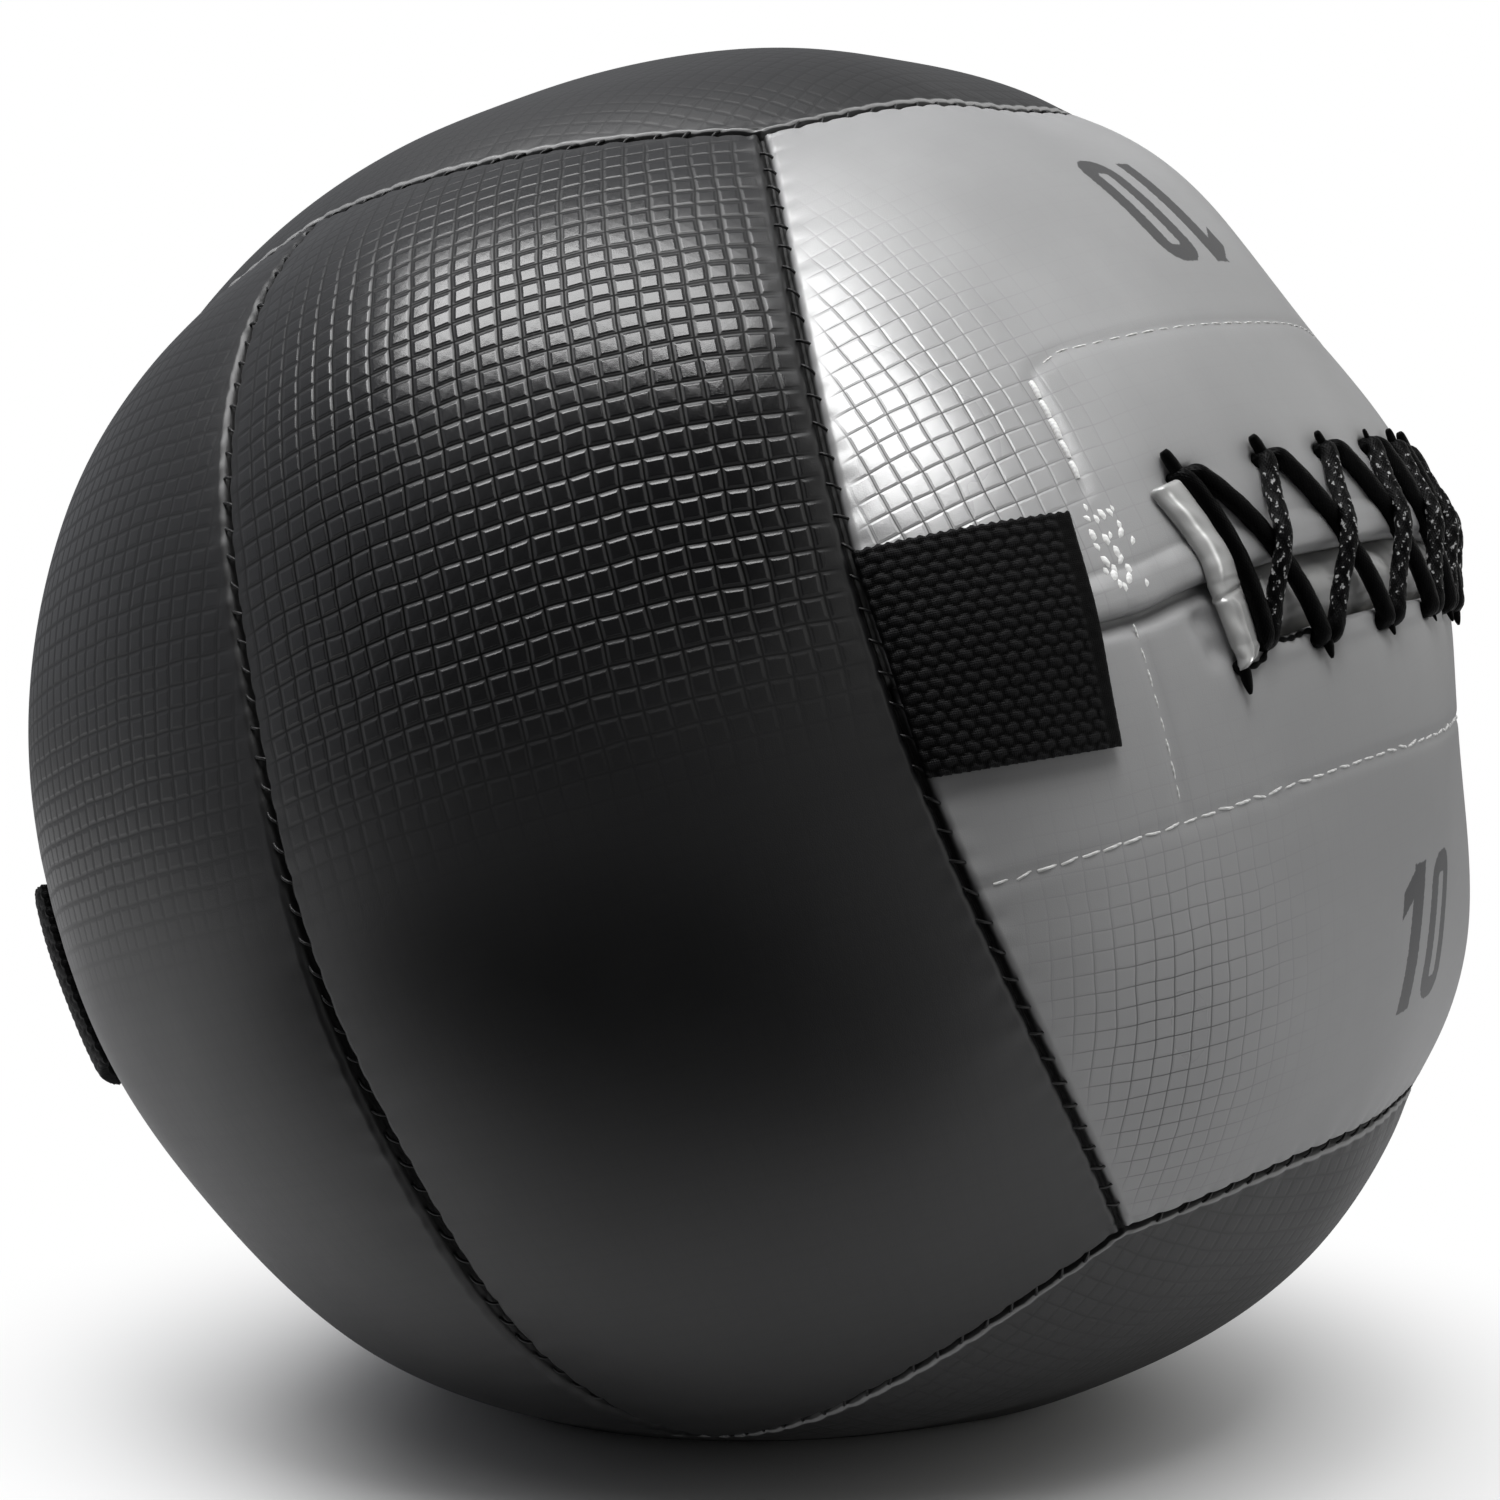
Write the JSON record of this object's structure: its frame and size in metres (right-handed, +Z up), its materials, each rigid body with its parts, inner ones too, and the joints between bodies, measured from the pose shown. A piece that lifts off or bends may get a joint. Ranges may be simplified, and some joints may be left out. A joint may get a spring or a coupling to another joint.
{
  "type": "wall ball",
  "caption": "Soft weighted ball of sewn embossed panels with a laced opening and webbing tabs, for throwing at a wall.",
  "frame": {"origin": "centre of the flat patch on which the ball rests, on the floor below the ball's centre", "axes": "+Z up from the floor; the laced front panel faces -Y, and the axis through the two caps leans 19 degrees from +Z, as the ball lies in the picture"},
  "size_m": [0.3508, 0.3558, 0.336],
  "materials": {
    "black_leather": "satin",
    "gray_leather": "satin",
    "pale_leather": "satin",
    "lining_cloth": "matte",
    "lace_cord": "satin",
    "black_webbing": "matte",
    "foam": "matte",
    "textile_filling": "matte",
    "iron_shot": "matte"
  },
  "bodies": {
    "ball": {"front_panel_upper": "gray_leather", "front_panel_lower": "gray_leather", "rear_panel": "gray_leather", "left_front_panel": "black_leather", "left_rear_panel": "black_leather", "right_front_panel": "black_leather", "right_rear_panel": "black_leather", "top_cap": "black_leather", "bottom_cap": "black_leather", "opening_facing_upper": "lining_cloth", "opening_facing_lower": "lining_cloth", "inner_bag_upper": "lining_cloth", "inner_bag_lower": "lining_cloth", "tongue": "pale_leather", "lace": "lace_cord", "weight_bag_upper": "black_webbing", "weight_bag_lower": "black_webbing", "front_pad": "foam", "rear_pad": "foam", "left_front_pad": "foam", "left_rear_pad": "foam", "right_front_pad": "foam", "right_rear_pad": "foam", "top_pad": "foam", "bottom_pad": "foam", "filling_upper": "textile_filling", "filling_lower": "textile_filling", "shot": "iron_shot"},
    "tab_front_left": {"tab_front_left": "black_webbing"},
    "tab_front_right": {"tab_front_right": "black_webbing"},
    "tab_rear_left": {"tab_rear_left": "black_webbing"},
    "tab_rear_right": {"tab_rear_right": "black_webbing"}
  },
  "joints": [
    {"name": "tab_front_left_hinge", "type": "hinge", "parent": "ball", "child": "tab_front_left", "pos_m": [-0.13161, -0.11535, 0.18664], "axis": [0.0843, -0.3145, -0.9455], "range_deg": [0, 150]},
    {"name": "tab_front_right_hinge", "type": "hinge", "parent": "ball", "child": "tab_front_right", "pos_m": [0.12787, -0.11138, 0.20844], "axis": [-0.0843, 0.3145, 0.9455], "range_deg": [0, 150]},
    {"name": "tab_rear_left_hinge", "type": "hinge", "parent": "ball", "child": "tab_rear_left", "pos_m": [-0.12831, 0.11176, 0.11139], "axis": [-0.0843, 0.3145, 0.9455], "range_deg": [0, 150]},
    {"name": "tab_rear_right_hinge", "type": "hinge", "parent": "ball", "child": "tab_rear_right", "pos_m": [0.13177, 0.11549, 0.13333], "axis": [0.0843, -0.3145, -0.9455], "range_deg": [0, 150]}
  ]
}
